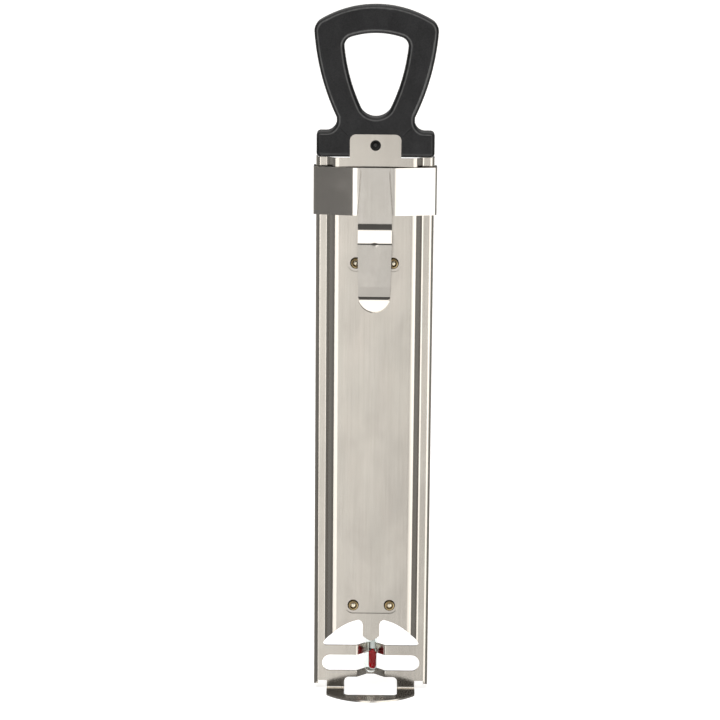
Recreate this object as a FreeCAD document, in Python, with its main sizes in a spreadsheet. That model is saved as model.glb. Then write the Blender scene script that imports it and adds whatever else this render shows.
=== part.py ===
import FreeCAD, Part
import math
import os
from types import SimpleNamespace

import Sketcher
from FreeCAD import Vector

# Cooking thermometer on a stainless paddle, with a loop handle and a sliding pan clip.
#
# Each piece is drawn in the plate's own coordinates: X across the paddle, Z up from
# the underside of the foot, and Y through the sheet with zero on the flanges' back
# face. The clip is on the back (-Y) and the glass tube on the front (+Y). Every body
# is then moved along Y by the same amount, so that the origin of the assembly is the
# centre of its footprint.

SIZES = [
    # pressed sheet of the paddle
    ("gauge", 0.8),
    ("plate_half", 25.5),
    ("plate_top", 239.6),
    ("lip_depth", 6.0),
    ("lip_tip", 2.3),
    ("panel_half", 16.3),
    ("panel_rise", 3.4),
    ("shoulder_x", 17.9),
    ("shoulder_rise", 3.1),
    ("slope_end", 20.4),
    ("bend_radius", 1.2),
    ("soft_bend", 8.0),
    # openings round the bulb, and the bars between them
    ("dome_half", 21.3),
    ("dome_side", 21.7),
    ("dome_corner", 1.3),
    ("dome_radius", 24.2),
    ("dome_shoulder_x", 5.7),
    ("dome_shoulder_z", 33.5),
    ("finger_half", 3.7),
    ("finger_root", 31.2),
    ("finger_root_radius", 2.4),
    ("finger_taper", 26.0),
    ("finger_tip", 23.9),
    ("finger_tip_half", 0.8),
    ("crossbar_top", 20.5),
    ("crossbar_base", 16.0),
    ("slot_base", 8.6),
    ("slot_half", 21.8),
    ("guard_half", 6.1),
    ("guard_crown_half", 1.7),
    ("guard_depth", 4.4),
    ("guard_bend", 0.4),
    # foot
    ("foot_half", 19.7),
    ("foot_reach", 18.0),
    ("foot_side", 8.6),
    ("foot_nose_radius", 25.0),
    ("foot_corner", 2.5),
    ("foot_bend", 0.9),
    ("foot_gap_half", 11.8),
    ("foot_gap_top", 5.7),
    ("foot_gap_reach", 10.0),
    ("foot_gap_corner", 2.0),
    ("notch_top", 4.0),
    ("notch_half", 23.6),
    ("notch_step", 0.3),
    # tab that carries the handle
    ("tab_half", 11.0),
    ("tab_lap", 2.0),
    ("tab_top", 249.7),
    ("tab_corner", 2.6),
    ("tab_hole_radius", 2.3),
    ("pin_height", 245.0),
    ("pin_radius", 1.6),
    ("pin_end", 3.4),
    # seats pressed forward for the rivets
    ("seat_depth", 0.5),
    ("seat_radius", 3.7),
    ("rivet_half_spacing", 8.05),
    ("rivet_upper", 194.1),
    ("rivet_lower", 40.2),
    ("rivet_hole", 1.3),
    ("rivet_shank", 1.25),
    ("rivet_bore", 0.75),
    ("rivet_bore_floor", 2.2),
    ("rivet_roll", 2.35),
    ("rivet_roll_height", 0.65),
    ("rivet_head", 2.5),
    ("rivet_head_rim", 0.3),
    ("rivet_head_height", 0.95),
    # handle
    ("handle_back", 3.6),
    ("handle_front", 7.4),
    ("handle_top", 304.6),
    ("handle_ear_x", 26.6),
    ("handle_ear_z", 296.25),
    ("handle_ear_round", 5.5),
    ("handle_top_radius", 46.5),
    ("handle_side_radius", 100.0),
    ("neck_half", 16.7),
    ("neck_z", 256.8),
    ("neck_round", 4.6),
    ("block_half", 25.3),
    ("block_top", 250.8),
    ("block_base", 239.9),
    ("block_round", 1.7),
    ("handle_edge", 1.85),
    ("loop_top_half", 13.9),
    ("loop_top_z", 289.75),
    ("loop_top_radius", 35.5),
    ("loop_corner", 4.2),
    ("loop_side_radius", 78.5),
    ("loop_low_half", 6.2),
    ("loop_low_z", 260.1),
    ("loop_drop", 3.2),
    ("loop_base_radius", 7.6),
    ("window_gap", 0.1),
    # glass tube and the liquid in it
    ("tube_y", 1.1),
    ("tube_radius", 3.0),
    ("tube_bore", 2.6),
    ("tube_base", 7.6),
    ("tube_top", 229.0),
    ("plug_length", 6.0),
    ("stem_shift", 0.8),
    ("stem_radius", 1.55),
    ("stem_top", 225.0),
    ("bulb_radius", 1.75),
    ("bulb_base", 9.2),
    ("bulb_top", 18.2),
    ("liquid_radius", 1.5),
    ("liquid_top", 17.7),
    ("bore_radius", 0.4),
    ("bore_top", 214.0),
    ("column_radius", 0.32),
    ("column_top", 46.0),
    ("meniscus_height", 1.0),
    # straps that hold the tube
    ("strap_gauge", 0.5),
    ("strap_half_width", 3.2),
    ("strap_foot", 11.6),
    ("strap_gap", 0.1),
    ("strap_corner", 1.6),
    # sliding clip
    ("band_base", 215.1),
    ("band_top", 235.7),
    ("band_half", 26.6),
    ("band_plateau", 8.7),
    ("band_back", 6.3),
    ("band_shoulder", 2.5),
    ("band_front", 7.1),
    ("band_hook", 22.6),
    ("band_bend", 1.0),
    ("hook_bend", 0.4),
    ("shoulder_bend", 12.0),
    ("slit_gap", 0.3),
    ("tongue_root", 234.2),
    ("tongue_root_half", 5.9),
    ("tongue_half", 7.3),
    ("tongue_tip_half", 6.9),
    ("tongue_knee", 209.8),
    ("tongue_ridge", 203.6),
    ("tongue_ridge_y", 12.0),
    ("tongue_ease", 185.0),
    ("tongue_ease_y", 6.5),
    ("tongue_pinch", 180.2),
    ("tongue_pinch_y", 5.8),
    ("tongue_end", 174.0),
    ("tongue_end_y", 10.4),
    ("tongue_end_radius", 7.4),
    ("tongue_end_side", 178.4),
    ("tongue_knee_round", 4.2),
    ("tongue_ridge_round", 0.3),
    ("tongue_ease_round", 6.0),
    ("tongue_pinch_round", 2.4),
]

CUT_LENGTH = 80.0


class Size:
    """A length, kept together with the sheet expression that gives it."""

    def __init__(self, value, text):
        self.value = float(value)
        self.text = text

    def __add__(self, other):
        return Size(self.value + value_of(other), f"({self.text} + {text_of(other)})")

    def __radd__(self, other):
        return self + other

    def __sub__(self, other):
        return Size(self.value - value_of(other), f"({self.text} - {text_of(other)})")

    def __rsub__(self, other):
        return Size(value_of(other) - self.value, f"({text_of(other)} - {self.text})")

    def __mul__(self, factor):
        return Size(self.value * value_of(factor), f"({self.text} * {text_of(factor)})")

    def __truediv__(self, other):
        return Size(self.value / value_of(other), f"({self.text} / {text_of(other)})")

    def __neg__(self):
        return Size(-self.value, f"(0 - {self.text})")


def value_of(term):
    return term.value if isinstance(term, Size) else float(term)


def text_of(term):
    return term.text if isinstance(term, Size) else f"{float(term):.6f}"


doc = FreeCAD.newDocument("thermometer")


def make_sheet():
    """Put every driving dimension in the spreadsheet and hand back its Sizes."""
    sheet = doc.addObject("Spreadsheet::Sheet", "sizes")
    found = {}
    for row, (alias, value) in enumerate(SIZES, start=1):
        sheet.set(f"A{row}", alias)
        sheet.set(f"B{row}", str(value))
        sheet.setAlias(f"B{row}", alias)
        found[alias] = Size(value, f"sizes.{alias}")
    doc.recompute()
    return SimpleNamespace(**found)


size = make_sheet()
ORIGIN_SHIFT = (size.foot_reach - size.handle_front) / 2


# ---------------------------------------------------------------- sketch helpers

def new_body(name, x=0.0, y=0.0, z=0.0):
    """A body placed at (x, y, z) of the plate's coordinates."""
    body = doc.addObject("PartDesign::Body", name)
    body.Label = name
    place = {"x": x, "y": ORIGIN_SHIFT + y, "z": z}
    for axis, term in place.items():
        if isinstance(term, Size):
            body.setExpression(f"Placement.Base.{axis}", term.text)
    return body


def new_sketch(body, name, plane, lift):
    """An empty sketch on one of the body's planes, lifted along that plane's normal."""
    sketch = body.newObject("Sketcher::SketchObject", name)
    base = [item for item in body.Origin.OriginFeatures if item.Role == f"{plane}_Plane"][0]
    sketch.AttachmentSupport = (base, [""])
    sketch.MapMode = "FlatFace"
    if isinstance(lift, Size):
        sketch.setExpression("AttachmentOffset.Base.z", lift.text)
    return sketch


def pin_point(sketch, geometry, position, point):
    """Tie one point of the sketch to the sheet, across and up from the sketch's origin."""
    for kind, term in zip(("DistanceX", "DistanceY"), point):
        link = Sketcher.Constraint(kind, -1, 1, geometry, position, value_of(term))
        index = sketch.addConstraint(link)
        if isinstance(term, Size):
            sketch.setExpression(f"Constraints[{index}]", term.text)


def tie_radius(sketch, geometry, radius):
    index = sketch.addConstraint(Sketcher.Constraint("Radius", geometry, abs(value_of(radius))))
    if isinstance(radius, Size):
        sketch.setExpression(f"Constraints[{index}]", f"abs({radius.text})")


def arc_between(start, end, radius):
    """The short arc from start to end; a positive radius turns left, a negative one right."""
    if radius < 0:
        return arc_between(end, start, -radius)
    half = (end - start) * 0.5
    height = math.sqrt(max(radius ** 2 - half.Length ** 2, 0.0))
    left = Vector(-half.y, half.x, 0).normalize()
    centre = start + half + left * height
    angles = [math.atan2(point.y - centre.y, point.x - centre.x) for point in (start, end)]
    return Part.ArcOfCircle(Part.Circle(centre, Vector(0, 0, 1), radius), *angles)


def add_outline(sketch, corners):
    """Close a loop through the corners. A third entry is the radius of the arc that leaves it."""
    first = sketch.GeometryCount
    flat = [Vector(value_of(corner[0]), value_of(corner[1]), 0) for corner in corners]
    ends = []
    for index, corner in enumerate(corners):
        start = flat[index]
        end = flat[(index + 1) % len(flat)]
        if len(corner) == 3:
            sketch.addGeometry(arc_between(start, end, value_of(corner[2])), False)
            ends.append((1, 2) if value_of(corner[2]) > 0 else (2, 1))
        else:
            sketch.addGeometry(Part.LineSegment(start, end), False)
            ends.append((1, 2))
    for index, corner in enumerate(corners):
        after = (index + 1) % len(corners)
        link = ("Coincident", first + index, ends[index][1], first + after, ends[after][0])
        sketch.addConstraint(Sketcher.Constraint(*link))
        pin_point(sketch, first + index, ends[index][0], corner[:2])
        if len(corner) == 3:
            tie_radius(sketch, first + index, corner[2])


def outline_sketch(body, name, plane, loops, lift=0.0):
    sketch = new_sketch(body, name, plane, lift)
    for corners in loops:
        add_outline(sketch, corners)
    return sketch


def circle_sketch(body, name, plane, circles, lift=0.0):
    sketch = new_sketch(body, name, plane, lift)
    for x, y, radius in circles:
        circle = Part.Circle(Vector(value_of(x), value_of(y), 0), Vector(0, 0, 1), value_of(radius))
        geometry = sketch.addGeometry(circle, False)
        pin_point(sketch, geometry, 3, (x, y))
        tie_radius(sketch, geometry, radius)
    return sketch


def mirrored(half):
    """A half outline from the centre line out and back, completed on the -X side."""
    other = []
    for index in range(len(half) - 1, -1, -1):
        x, y = half[index][:2]
        arc = half[index - 1][2:] if index > 0 else ()
        if abs(value_of(x)) > 1e-9:
            other.append((-x, y, *arc))
    joined = list(half)
    if abs(value_of(half[-1][0])) < 1e-9:
        joined[-1] = (*half[-1][:2], *half[-2][2:])
    return joined + other


def rectangle(x_low, x_high, y_low, y_high):
    return [(x_low, y_low), (x_high, y_low), (x_high, y_high), (x_low, y_high)]


def rounded_corner(corner, before, after, radius, turn):
    """The two tangent points of a rounded corner; the first carries the arc's radius."""
    reach = radius * math.tan(abs(turn) / 2)
    x, y = corner
    start = (x - reach * before.x, y - reach * before.y, radius * math.copysign(1.0, turn))
    end = (x + reach * after.x, y + reach * after.y)
    return [start, end]


def soften(points, radii):
    """A closed polygon whose corners are rounded; None keeps a corner sharp."""
    flat = [Vector(value_of(x), value_of(y), 0) for x, y in points]
    corners = []
    for index, radius in enumerate(radii):
        if radius is None:
            corners.append(points[index])
            continue
        before = (flat[index] - flat[index - 1]).normalize()
        after = (flat[(index + 1) % len(flat)] - flat[index]).normalize()
        turn = math.atan2(before.x * after.y - before.y * after.x, before.dot(after))
        corners += rounded_corner(points[index], before, after, radius, turn)
    return corners


def strip(points, gauge, radii):
    """Closed outline of a bent sheet: its given face, then the face one gauge to the left.

    radii holds the inner radius of each bend, from the first to the last.
    """
    flat = [Vector(value_of(x), value_of(y), 0) for x, y in points]
    runs = [(flat[i + 1] - flat[i]).normalize() for i in range(len(flat) - 1)]
    given = []
    offset = []
    for index, (x, y) in enumerate(points):
        before = runs[max(index - 1, 0)]
        after = runs[min(index, len(runs) - 1)]
        left = Vector(-before.y - after.y, before.x + after.x, 0)
        factor = 2.0 / left.Length ** 2
        twin = (x + gauge * (left.x * factor), y + gauge * (left.y * factor))
        if index in (0, len(points) - 1):
            given.append((x, y))
            offset.append([twin])
            continue
        turn = math.atan2(before.x * after.y - before.y * after.x, before.dot(after))
        inner = radii[index - 1]
        outer = inner + gauge
        near, far = (outer, inner) if turn > 0 else (inner, outer)
        given += rounded_corner((x, y), before, after, near, turn)
        offset.append(rounded_corner(twin, -after, -before, far, -turn))
    return given + [corner for group in offset[::-1] for corner in group]


# --------------------------------------------------------------- feature helpers

def finish_feature(body, feature, grows):
    """Recompute, then make sure that the feature changed the solid the way it should."""
    before = feature.BaseFeature.Shape.Volume if feature.BaseFeature else 0.0
    doc.recompute()
    body.Tip = feature
    change = feature.Shape.Volume - before
    if change * (1 if grows else -1) <= 1e-6:
        raise RuntimeError(f"{body.Label}: {feature.Name} changed nothing")
    return feature


def pad(body, sketch, length, name, both_ways=False, flip=False):
    feature = body.newObject("PartDesign::Pad", name)
    feature.Profile = sketch
    feature.SideType = "Symmetric" if both_ways else "One side"
    feature.Reversed = flip
    feature.setExpression("Length", text_of(length))
    return finish_feature(body, feature, grows=True)


def pocket(body, sketch, name, depth=CUT_LENGTH, both_ways=True):
    feature = body.newObject("PartDesign::Pocket", name)
    feature.Profile = sketch
    feature.SideType = "Symmetric" if both_ways else "One side"
    feature.setExpression("Length", text_of(depth))
    return finish_feature(body, feature, grows=False)


def revolve(body, sketch, name, axis="V_Axis"):
    feature = body.newObject("PartDesign::Revolution", name)
    feature.Profile = sketch
    feature.ReferenceAxis = (sketch, [axis])
    feature.Angle = 360.0
    return finish_feature(body, feature, grows=True)


def edges_along(shape, axis, spots):
    """Names of the straight edges along an axis that stand on the given spots."""
    across = {"x": ("y", "z"), "y": ("x", "z"), "z": ("x", "y")}[axis]
    names = []
    for index, edge in enumerate(shape.Edges, start=1):
        ends = [vertex.Point for vertex in edge.Vertexes]
        if len(ends) != 2 or abs(getattr(ends[0], axis) - getattr(ends[1], axis)) < 0.05:
            continue
        for spot in spots:
            wanted = [value_of(term) for term in spot]
            gaps = [abs(getattr(end, across[k]) - wanted[k]) for end in ends for k in (0, 1)]
            if max(gaps) < 0.02:
                names.append(f"Edge{index}")
    return names


def edges_in_plane(shape, axis, level):
    """Names of the edges that lie wholly in one plane square to an axis."""
    names = []
    for index, edge in enumerate(shape.Edges, start=1):
        box = edge.BoundBox
        low = getattr(box, f"{axis.upper()}Min")
        high = getattr(box, f"{axis.upper()}Max")
        if abs(low - level) < 0.01 and abs(high - level) < 0.01:
            names.append(f"Edge{index}")
    return names


def round_edges(body, names, radius, name):
    if not names:
        raise RuntimeError(f"{body.Label}: {name} found no edge")
    base = body.Tip
    feature = body.newObject("PartDesign::Fillet", name)
    feature.Base = (base, names)
    feature.setExpression("Radius", text_of(radius))
    doc.recompute()
    body.Tip = feature
    if feature.Shape.isNull() or not feature.Shape.isValid():
        raise RuntimeError(f"{body.Label}: {name} failed on {names}")
    return feature


# ------------------------------------------------------------------- the paddle

def panel_section():
    """Back face of the paddle across its raised panel, from one lip to the other."""
    half = [
        (size.panel_half, -size.panel_rise),
        (size.shoulder_x, -size.shoulder_rise),
        (size.slope_end, 0.0),
        (size.plate_half, 0.0),
        (size.plate_half, size.lip_depth),
    ]
    return [(-x, y) for x, y in half[::-1]] + half


def guard_section():
    """Back face of the paddle below the panel, where it bulges forward past the bulb."""
    half = [
        (size.guard_crown_half, size.guard_depth),
        (size.guard_half, 0.0),
        (size.plate_half, 0.0),
        (size.plate_half, size.lip_depth),
    ]
    return [(-x, y) for x, y in half[::-1]] + half


def add_seats(body):
    """Press the rivet seats forward: a round one for each upper rivet, a long one below."""
    wall = size.seat_radius + size.gauge
    spots = (-size.rivet_half_spacing, size.rivet_half_spacing)
    front = -(size.gauge - size.panel_rise + size.seat_depth)
    back = size.panel_rise
    rounds = [(x, size.rivet_upper, wall) for x in spots]
    boss = circle_sketch(body, "upper_seat_boss", "XZ", rounds, lift=front)
    pad(body, boss, size.seat_depth, "UpperSeats")
    low = long_round(size.rivet_half_spacing, size.rivet_lower, wall)
    boss = outline_sketch(body, "lower_seat_boss", "XZ", [low], lift=front)
    pad(body, boss, size.seat_depth, "LowerSeat")
    rounds = [(x, size.rivet_upper, size.seat_radius) for x in spots]
    hollow = circle_sketch(body, "upper_seat_hollow", "XZ", rounds, lift=back)
    pocket(body, hollow, "UpperHollows", size.seat_depth, both_ways=False)
    low = long_round(size.rivet_half_spacing, size.rivet_lower, size.seat_radius)
    hollow = outline_sketch(body, "lower_seat_hollow", "XZ", [low], lift=back)
    pocket(body, hollow, "LowerHollow", size.seat_depth, both_ways=False)
    holes = [(x, z, size.rivet_hole) for x in spots for z in (size.rivet_upper, size.rivet_lower)]
    pocket(body, circle_sketch(body, "rivet_holes", "XZ", holes), "RivetHoles")


def long_round(half_spacing, height, radius):
    """A slot outline whose round ends are quarter arcs, centred on the mid plane."""
    return mirrored([
        (half_spacing, height - radius, radius),
        (half_spacing + radius, height, radius),
        (half_spacing, height + radius),
    ])


def dome_outline():
    """Opening over the bulb: a domed window with the panel's finger hanging into it."""
    return mirrored([
        (0.0, size.crossbar_top),
        (size.dome_half - size.dome_corner, size.crossbar_top, size.dome_corner),
        (size.dome_half, size.dome_side, size.dome_radius),
        (size.dome_shoulder_x, size.dome_shoulder_z, size.finger_root_radius),
        (size.finger_half, size.finger_root),
        (size.finger_half, size.finger_taper),
        (size.finger_tip_half, size.finger_tip),
        (0.0, size.finger_tip),
    ])


def make_plate():
    """One pressed sheet: raised panel, lips, guard bars round the bulb, foot and tab."""
    body = new_body("paddle_plate")
    bends = [size.bend_radius] * 3 + [size.soft_bend] * 2 + [size.bend_radius] * 3
    panel = strip(panel_section(), size.gauge, bends)
    crown = [size.guard_bend] * 4
    guard = strip(guard_section(), size.gauge, [size.bend_radius, *crown, size.bend_radius])
    sketch = outline_sketch(body, "panel_section", "XY", [panel], lift=size.dome_side)
    pad(body, sketch, size.plate_top - size.dome_side, "Panel")
    sketch = outline_sketch(body, "guard_section", "XY", [guard], lift=size.lip_tip)
    pad(body, sketch, size.dome_side - size.lip_tip, "Guard")
    tab = rectangle(-size.tab_half, size.tab_half, size.plate_top - size.tab_lap, size.tab_top)
    tab = soften(tab, [None, None, size.tab_corner, size.tab_corner])
    sketch = outline_sketch(body, "tab", "XZ", [tab], lift=size.panel_rise)
    pad(body, sketch, size.gauge, "Tab", flip=True)
    hole = [(0.0, size.pin_height, size.tab_hole_radius)]
    pocket(body, circle_sketch(body, "tab_hole", "XZ", hole), "TabHole")

    add_foot(body)
    add_seats(body)
    pocket(body, outline_sketch(body, "dome", "XZ", [dome_outline()]), "Dome")
    slot_round = (size.crossbar_base - size.slot_base) / 2
    slot_middle = size.slot_base + slot_round
    slot = long_round(size.slot_half - slot_round, slot_middle, slot_round)
    pocket(body, outline_sketch(body, "slot", "XZ", [slot]), "Slot")
    return body


def add_foot(body):
    """Turn the foot back from the plate's lower edge, then open the gap that spans the bend."""
    upright = rectangle(-size.foot_half, size.foot_half, 0.0, size.foot_gap_top)
    sketch = outline_sketch(body, "foot_upright", "XZ", [upright], lift=-size.gauge)
    pad(body, sketch, size.gauge, "FootUpright")
    shelf = mirrored([
        (0.0, -size.foot_reach, size.foot_nose_radius),
        (size.foot_half, -size.foot_side),
        (size.foot_half, size.gauge),
    ])
    sketch = outline_sketch(body, "foot_shelf", "XY", [shelf])
    pad(body, sketch, size.gauge, "FootShelf")
    corners = [(x, -size.foot_side) for x in (-size.foot_half, size.foot_half)]
    round_edges(body, edges_along(body.Tip.Shape, "z", corners), size.foot_corner, "FootCorners")
    heel = [(size.gauge, 0.0)]
    names = edges_along(body.Tip.Shape, "x", heel)
    round_edges(body, names, size.foot_bend + size.gauge, "FootHeel")
    names = edges_along(body.Tip.Shape, "x", [(0.0, size.gauge)])
    round_edges(body, names, size.foot_bend, "FootHollow")

    inside_lip = size.plate_half - size.gauge
    notch = [
        (size.foot_half, 0.0),
        (inside_lip, 0.0),
        (inside_lip, size.lip_tip + size.notch_step),
        (size.notch_half, size.notch_top),
        (size.foot_half, size.notch_top),
    ]
    loops = [notch, [(-x, z) for x, z in notch]]
    sketch = outline_sketch(body, "notches", "XZ", loops, lift=size.gauge)
    pocket(body, sketch, "Notches", size.gauge * 2, both_ways=False)

    front = size.guard_depth + size.gauge * 2
    gap = rectangle(-size.foot_gap_half, size.foot_gap_half, -size.foot_gap_reach, front)
    sketch = outline_sketch(body, "foot_gap", "XY", [gap], lift=size.foot_gap_top)
    pocket(body, sketch, "FootGap", both_ways=False)
    sides = (-size.foot_gap_half, size.foot_gap_half)
    names = edges_along(body.Tip.Shape, "z", [(x, -size.foot_gap_reach) for x in sides])
    names += edges_along(body.Tip.Shape, "y", [(x, size.foot_gap_top) for x in sides])
    round_edges(body, names, size.foot_gap_corner, "FootGapCorners")


# ------------------------------------------------------------------- the handle

def head_outline():
    """Outer outline of the handle: arched top, tapering sides, neck and square block."""
    return mirrored([
        (0.0, size.block_base),
        (size.block_half, size.block_base),
        (size.block_half, size.block_top),
        (size.neck_half, size.block_top),
        (size.neck_half, size.neck_z, size.handle_side_radius),
        (size.handle_ear_x, size.handle_ear_z, size.handle_top_radius),
        (0.0, size.handle_top),
    ])


def loop_outline():
    """Finger loop through the handle: a flat arch above and a round bottom."""
    return mirrored([
        (0.0, size.loop_low_z - size.loop_drop, size.loop_base_radius),
        (size.loop_low_half, size.loop_low_z, size.loop_side_radius),
        (size.loop_top_half, size.loop_top_z, size.loop_top_radius),
    ])


def make_handle():
    body = new_body("handle")
    depth = size.handle_back + size.handle_front
    sketch = outline_sketch(body, "head", "XZ", [head_outline()], lift=size.handle_back)
    pad(body, sketch, depth, "Head", flip=True)
    ears = [(size.handle_ear_x, size.handle_ear_z)]
    necks = [(size.neck_half, size.block_top)]
    block = [(size.block_half, size.block_top), (size.block_half, size.block_base)]
    for spots, radius, name in (
        (ears, size.handle_ear_round, "Ears"),
        (necks, size.neck_round, "Necks"),
        (block, size.block_round, "BlockCorners"),
    ):
        spots = spots + [(-x, z) for x, z in spots]
        round_edges(body, edges_along(body.Tip.Shape, "y", spots), radius, name)
    pocket(body, outline_sketch(body, "loop", "XZ", [loop_outline()]), "Loop")
    spots = [(size.loop_top_half, size.loop_top_z), (size.loop_low_half, size.loop_low_z)]
    spots += [(-x, z) for x, z in spots]
    round_edges(body, edges_along(body.Tip.Shape, "y", spots), size.loop_corner, "LoopCorners")
    names = edges_in_plane(body.Tip.Shape, "y", -size.handle_back.value)
    names += edges_in_plane(body.Tip.Shape, "y", size.handle_front.value)
    round_edges(body, names, size.handle_edge, "RoundedEdges")

    side = size.tab_half + size.window_gap
    top = size.tab_top + size.window_gap
    low = size.block_base - size.gauge
    window = soften(rectangle(-side, side, low, top), [None, None, size.tab_corner, size.tab_corner])
    sketch = outline_sketch(body, "window", "XZ", [window], lift=size.handle_back)
    depth = size.handle_back - size.panel_rise + size.gauge
    pocket(body, sketch, "Window", depth, both_ways=False)
    hole = [(0.0, size.pin_height, size.pin_radius)]
    sketch = circle_sketch(body, "pin_hole", "XZ", hole, lift=size.handle_back)
    pocket(body, sketch, "PinHole", size.handle_back + size.pin_end, both_ways=False)
    return body


def make_pin():
    """Plastic peg that passes through the tab's hole into the handle."""
    body = new_body("handle_pin", z=size.pin_height)
    length = size.panel_rise + size.pin_end
    sketch = circle_sketch(body, "peg", "XZ", [(0.0, 0.0, size.pin_radius)], lift=size.panel_rise)
    pad(body, sketch, length, "Peg", flip=True)
    names = edges_in_plane(body.Tip.Shape, "y", -size.panel_rise.value)
    round_edges(body, names, size.pin_radius / 4, "PegEdge")
    return body


# --------------------------------------------------------------- the glass tube

def turned(name, profile, **place):
    """A piece of revolution about Z, from a profile whose X is the radius."""
    body = new_body(name, **place)
    sketch = outline_sketch(body, f"{name}_profile", "XZ", [profile])
    revolve(body, sketch, "Turned")
    return body


def make_envelope():
    """Outer tube, closed below by a round end and open above for its plug."""
    wall = size.tube_radius - size.tube_bore
    profile = [
        (0.0, size.tube_base, size.tube_radius),
        (size.tube_radius, size.tube_base + size.tube_radius),
        (size.tube_radius, size.tube_top),
        (size.tube_bore, size.tube_top),
        (size.tube_bore, size.tube_base + size.tube_radius, -size.tube_bore),
        (0.0, size.tube_base + wall),
    ]
    return turned("glass_envelope", profile, y=size.tube_y)


def make_stem():
    """Inner stem: a thin-walled bulb below a thick wall with a fine bore."""
    shoulder = size.bulb_top + (size.bulb_radius - size.stem_radius)
    skin = size.bulb_radius - size.liquid_radius
    neck = size.liquid_radius - size.bore_radius
    profile = [
        (0.0, size.bulb_base, size.bulb_radius),
        (size.bulb_radius, size.bulb_base + size.bulb_radius),
        (size.bulb_radius, size.bulb_top),
        (size.stem_radius, shoulder),
        (size.stem_radius, size.stem_top),
        (0.0, size.stem_top),
        (0.0, size.bore_top),
        (size.bore_radius, size.bore_top - size.bore_radius),
        (size.bore_radius, size.liquid_top + neck / 2),
        (size.liquid_radius, size.liquid_top - neck / 2),
        (size.liquid_radius, size.bulb_base + skin + size.liquid_radius, -size.liquid_radius),
        (0.0, size.bulb_base + skin),
    ]
    return turned("capillary_stem", profile, x=size.stem_shift, y=size.tube_y)


def make_liquid():
    """Liquid that fills the bulb up to the start of the bore."""
    skin = size.bulb_radius - size.liquid_radius
    neck = size.liquid_radius - size.bore_radius
    profile = [
        (0.0, size.bulb_base + skin, size.liquid_radius),
        (size.liquid_radius, size.bulb_base + skin + size.liquid_radius),
        (size.liquid_radius, size.liquid_top - neck / 2),
        (size.bore_radius, size.liquid_top + neck / 2),
        (0.0, size.liquid_top + neck / 2),
    ]
    return turned("spirit_bulb", profile, x=size.stem_shift, y=size.tube_y)


def make_column():
    """Thread of liquid that stands in the bore above the bulb."""
    base = size.liquid_top + (size.liquid_radius - size.bore_radius) / 2
    profile = rectangle(0.0, size.column_radius, base, size.column_top)
    return turned("spirit_column", profile, x=size.stem_shift, y=size.tube_y)


def make_meniscus():
    """Round top end of the thread, which is the point that is read against the scale."""
    straight = size.meniscus_height - size.column_radius
    profile = [
        (0.0, 0.0),
        (size.column_radius, 0.0),
        (size.column_radius, straight, size.column_radius),
        (0.0, size.meniscus_height),
    ]
    place = {"x": size.stem_shift, "y": size.tube_y, "z": size.column_top}
    return turned("spirit_meniscus", profile, **place)


def make_plug():
    """Plug in the open end of the tube, with a blind socket for the stem's top."""
    body = new_body("envelope_plug", y=size.tube_y)
    low = size.tube_top - size.plug_length
    sketch = circle_sketch(body, "plug", "XY", [(0.0, 0.0, size.tube_bore)], lift=low)
    pad(body, sketch, size.plug_length, "Plug")
    stem = [(size.stem_shift, 0.0, size.stem_radius)]
    sketch = circle_sketch(body, "socket", "XY", stem, lift=size.stem_top)
    pocket(body, sketch, "Socket", size.stem_top - low + size.gauge, both_ways=False)
    return body


# ------------------------------------------------------- straps and their rivets

def make_strap(name, height):
    """Bent strap over the tube, with a foot on each side under a rivet's head."""
    body = new_body(name, z=height)
    seat = size.gauge - size.panel_rise + size.seat_depth
    inner = size.tube_radius + size.strap_gap
    outer = inner + size.strap_gauge
    section = [
        (-size.strap_foot, seat),
        (-inner, seat),
        (-inner, size.tube_y, -inner),
        (0.0, size.tube_y + inner, -inner),
        (inner, size.tube_y),
        (inner, seat),
        (size.strap_foot, seat),
        (size.strap_foot, seat + size.strap_gauge),
        (outer, seat + size.strap_gauge),
        (outer, size.tube_y, outer),
        (0.0, size.tube_y + outer, outer),
        (-outer, size.tube_y),
        (-outer, seat + size.strap_gauge),
        (-size.strap_foot, seat + size.strap_gauge),
    ]
    sketch = outline_sketch(body, "strap_section", "XY", [section])
    pad(body, sketch, size.strap_half_width * 2, "Strap", both_ways=True)
    corners = [(x, z) for x in (-size.strap_foot, size.strap_foot)
               for z in (-size.strap_half_width, size.strap_half_width)]
    names = edges_along(body.Tip.Shape, "y", corners)
    round_edges(body, names, size.strap_corner, "StrapCorners")
    holes = [(x, 0.0, size.rivet_hole) for x in (-size.rivet_half_spacing, size.rivet_half_spacing)]
    pocket(body, circle_sketch(body, "strap_holes", "XZ", holes), "StrapHoles")
    return body


def make_rivet(name, x, z):
    """Tubular rivet: low round head on the strap, end rolled over in the seat behind."""
    body = new_body(name, x=x, z=z)
    floor = size.seat_depth - size.panel_rise
    seat = floor + size.gauge + size.strap_gauge
    roll = floor - size.rivet_roll_height
    rise = size.rivet_head_height - size.rivet_head_rim
    dome = (size.rivet_head * size.rivet_head + rise * rise) / (rise * 2)
    profile = [
        (0.0, -size.rivet_bore_floor),
        (size.rivet_bore, -size.rivet_bore_floor),
        (size.rivet_bore, roll + size.rivet_roll_height / 2),
        (size.rivet_shank, roll),
        (size.rivet_roll - size.rivet_roll_height / 2, roll),
        (size.rivet_roll, roll + size.rivet_roll_height / 2),
        (size.rivet_roll, floor),
        (size.rivet_shank, floor),
        (size.rivet_shank, seat),
        (size.rivet_head, seat),
        (size.rivet_head, seat + size.rivet_head_rim, dome),
        (0.0, seat + size.rivet_head_height),
    ]
    sketch = outline_sketch(body, "rivet_profile", "XY", [profile])
    revolve(body, sketch, "Rivet")
    return body


# ----------------------------------------------------------------- the pan clip

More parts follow.
